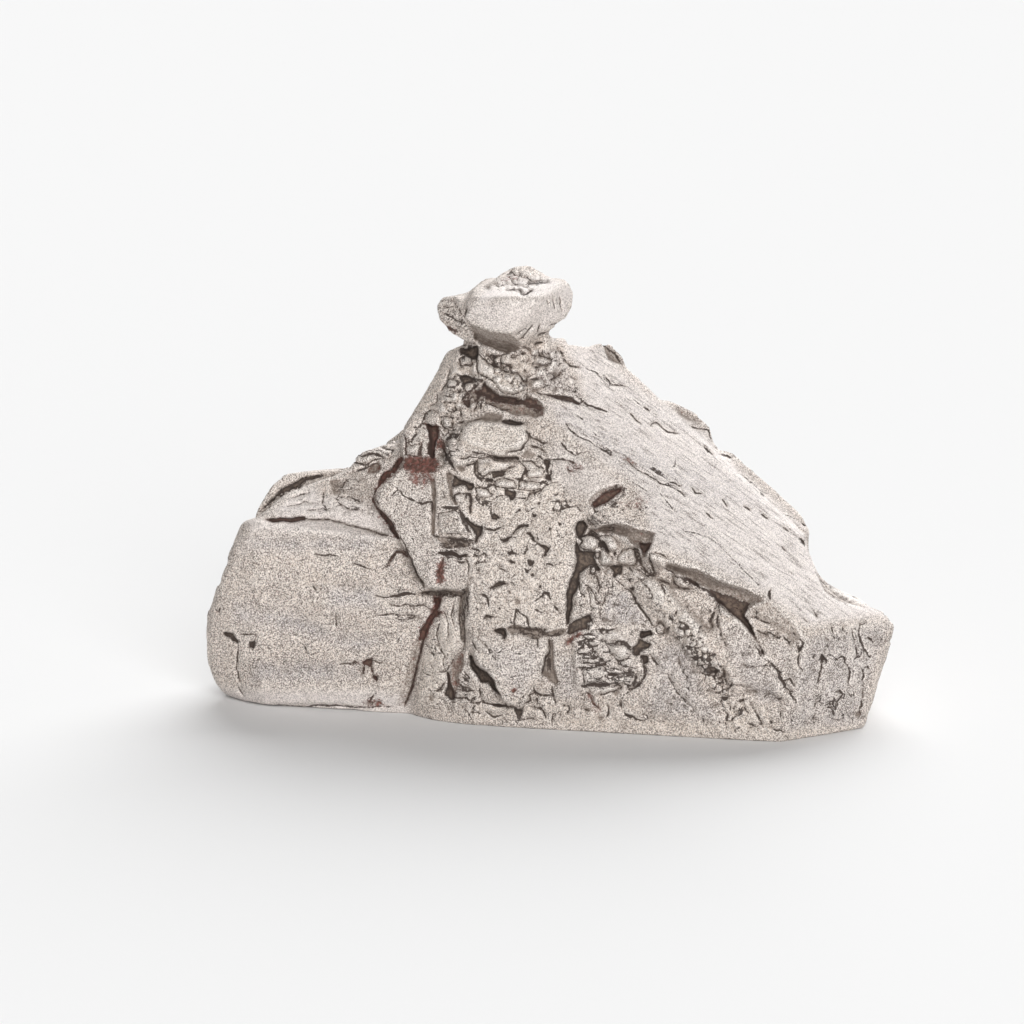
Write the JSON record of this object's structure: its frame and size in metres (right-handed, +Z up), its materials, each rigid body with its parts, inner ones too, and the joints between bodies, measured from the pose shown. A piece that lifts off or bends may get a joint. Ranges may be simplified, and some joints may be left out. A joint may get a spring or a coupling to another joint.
{
  "type": "iron meteorite",
  "caption": "Natural lump of weathered iron meteorite, a lopsided pyramid with a cracked front, a long smooth slope on one side and a small anvil-shaped cap on a narrow neck.",
  "frame": {"origin": "middle of the underside of the lump's box, on the surface it rests on", "axes": "+Z up as it rests, +X to the right along its longest side as its cracked front is faced, -Y out of the cracked front"},
  "size_m": [0.0896, 0.046, 0.0572],
  "materials": {
    "iron": "matt cleaned and weathered nickel-iron, warm grey, with brown rust in its cracks"
  },
  "bodies": {
    "root": {"meteorite": "iron"}
  },
  "joints": []
}
